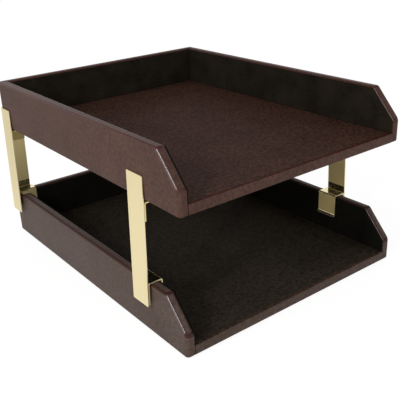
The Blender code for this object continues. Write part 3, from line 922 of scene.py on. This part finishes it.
def add_seen(tree):
    """Two switches: 1 where the eye or a mirror sees the stage, and 1 where a mirror does."""
    path = add_node(tree, "ShaderNodeLightPath")
    mirrored = add_node(tree, "ShaderNodeMath",
                        {0: path.outputs["Is Glossy Ray"], 1: path.outputs["Is Transmission Ray"]},
                        operation="MAXIMUM")
    seen = add_node(tree, "ShaderNodeMath", {0: path.outputs["Is Camera Ray"], 1: mirrored.outputs[0]},
                    operation="MAXIMUM")
    return seen.outputs[0], mirrored.outputs[0]


def white_room(world, looks):
    """Even pale light, and a white surround for the eye; mirrors also see that it dims overhead."""
    world.use_nodes = True
    tree = world.node_tree
    seen, mirrored = add_seen(tree)
    ray = add_node(tree, "ShaderNodeTexCoord").outputs["Generated"]
    height = add_node(tree, "ShaderNodeSeparateXYZ", {"Vector": ray}).outputs["Z"]
    dimmed = add_node(tree, "ShaderNodeMapRange",
                      {"Value": height, "From Min": DIM_FROM, "From Max": DIM_TO,
                       "To Min": 1.0, "To Max": looks.ceiling}, interpolation_type="SMOOTHSTEP")
    overhead = add_node(tree, "ShaderNodeMapRange",
                        {"Value": mirrored, "To Min": 1.0, "To Max": dimmed.outputs[0]})
    light = add_node(tree, "ShaderNodeMapRange",
                     {"Value": height, "To Min": looks.ambient, "To Max": looks.overhead})
    strength = add_node(tree, "ShaderNodeMapRange",
                        {"Value": seen, "To Min": light.outputs[0], "To Max": overhead.outputs[0]})
    back = tree.nodes["Background"]
    back.inputs["Color"].default_value = WHITE
    tree.links.new(strength.outputs[0], back.inputs["Strength"])


def pale_floor(looks):
    """Matt white board that keeps a soft shadow, and shows white to the eye and, fading back, to metal."""
    material, tree, shader, place = start_material("matt white board", Roughness=0.9)
    shader.inputs["Specular IOR Level"].default_value = 0.0
    shader.inputs["Base Color"].default_value = looks.floor
    seen, mirrored = add_seen(tree)
    part = add_node(tree, "ShaderNodeMath", {0: seen, 1: looks.glow}, operation="MULTIPLY")
    back = add_node(tree, "ShaderNodeSeparateXYZ", {"Vector": place}).outputs["Y"]
    fading = add_node(tree, "ShaderNodeMapRange",
                      {"Value": back, "From Min": FADE_FROM, "From Max": FADE_TO,
                       "To Min": 1.0, "To Max": FADED})
    lit = add_node(tree, "ShaderNodeMapRange",
                   {"Value": mirrored, "To Min": FLOOR_WHITE, "To Max": fading.outputs[0]})
    white = add_node(tree, "ShaderNodeEmission", {"Color": WHITE, "Strength": lit.outputs[0]})
    mixed = add_node(tree, "ShaderNodeMixShader",
                     {0: part.outputs[0], 1: shader.outputs[0], 2: white.outputs[0]})
    tree.links.new(mixed.outputs[0], tree.nodes["Material Output"].inputs["Surface"])
    return material


class LETTERTRAY_OT_stage(TrayOperator, bpy.types.Operator):
    """Set the floor, the light and the camera"""
    bl_idname = "letter_tray.stage"
    bl_label = "Stage"

    # The camera stands at the front left, above the upper tray, and is turned a little on its axis
    eye = (-0.3760, -0.5170, 0.3317)
    azimuth = math.radians(-36.913)
    elevation = math.radians(23.684)
    roll = math.radians(-2.433)
    floor_size = 12.0

    # Directions of the two lamps from the object's middle, with their distance and size
    keys = (Vector((-0.80, -0.24, 0.55)), Vector((-0.86, -0.50, 0.40)))
    key_distance = 1.2
    key_size = 0.10

    def execute(self, context):
        looks = context.scene.letter_tray_stage
        context.scene.view_settings.view_transform = "Standard"
        bm = bmesh.new()
        bmesh.ops.create_grid(bm, x_segments=1, y_segments=1, size=self.floor_size / 2)
        mesh = bpy.data.meshes.new("studio_floor")
        bm.to_mesh(mesh)
        bm.free()
        mesh.materials.append(pale_floor(looks))
        floor = bpy.data.objects.new("studio_floor", mesh)
        context.collection.objects.link(floor)
        context.scene.world = context.scene.world or bpy.data.worlds.new("white room")
        white_room(context.scene.world, looks)
        for towards in self.keys:
            self.key_light(context, looks, towards.normalized())
        self.camera(context, looks)
        return {"FINISHED"}

    def key_light(self, context, looks, towards):
        """A small square lamp in a direction from the object's middle."""
        lamp = bpy.data.lights.new("key light", "AREA")
        lamp.energy = looks.key
        lamp.shape = "SQUARE"
        lamp.size = self.key_size
        obj = bpy.data.objects.new("key light", lamp)
        middle = (FRAME_BOX[0] + FRAME_BOX[1]) / 2
        obj.location = middle + towards * self.key_distance
        obj.rotation_euler = towards.to_track_quat("Z", "Y").to_euler()
        context.collection.objects.link(obj)

    def camera(self, context, looks):
        """The camera, at the picture's own angle."""
        camera = bpy.data.cameras.new("camera")
        camera.lens = looks.lens
        camera.sensor_width = 36.0
        camera.clip_start = 0.01
        obj = bpy.data.objects.new("camera", camera)
        turn = (Matrix.Rotation(self.azimuth, 4, "Z") @ Matrix.Rotation(math.pi / 2 - self.elevation, 4, "X")
                @ Matrix.Rotation(self.roll, 4, "Z"))
        obj.matrix_world = Matrix.Translation(self.eye) @ turn
        context.collection.objects.link(obj)
        context.scene.camera = obj


OPERATORS = (LETTERTRAY_OT_stage, LETTERTRAY_OT_hidden, LETTERTRAY_OT_wraps, LETTERTRAY_OT_linings,
             LETTERTRAY_OT_pads, LETTERTRAY_OT_front_posts, LETTERTRAY_OT_rear_posts)
LOOKS = {"letter_tray_leather": LeatherLooks, "letter_tray_brass": BrassLooks,
         "letter_tray_hidden": HiddenLooks, "letter_tray_stage": StageLooks}


class LETTERTRAY_PT_panel(bpy.types.Panel):
    """The add-on's sizes, colours and operators"""
    bl_label = "Letter Tray"
    bl_space_type = "VIEW_3D"
    bl_region_type = "UI"
    bl_category = "Letter Tray"

    def draw(self, context):
        for name, group in LOOKS.items():
            column = self.layout.box().column()
            for prop in group.__annotations__:
                column.prop(getattr(context.scene, name), prop)
        for operator in OPERATORS:
            self.layout.operator(operator.bl_idname)


def register():
    for cls in (*LOOKS.values(), *OPERATORS, LETTERTRAY_PT_panel):
        bpy.utils.register_class(cls)
    for name, group in LOOKS.items():
        setattr(bpy.types.Scene, name, PointerProperty(type=group))


def unregister():
    for name in LOOKS:
        delattr(bpy.types.Scene, name)
    for cls in reversed((*LOOKS.values(), *OPERATORS, LETTERTRAY_PT_panel)):
        bpy.utils.unregister_class(cls)


def write_sizes():
    """Bring the scene's placements up to date."""
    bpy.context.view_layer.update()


def main():
    register()
    for operator in OPERATORS:
        group, name = operator.bl_idname.split(".")
        getattr(getattr(bpy.ops, group), name)()
    write_sizes()


if __name__ == "__main__":
    main()
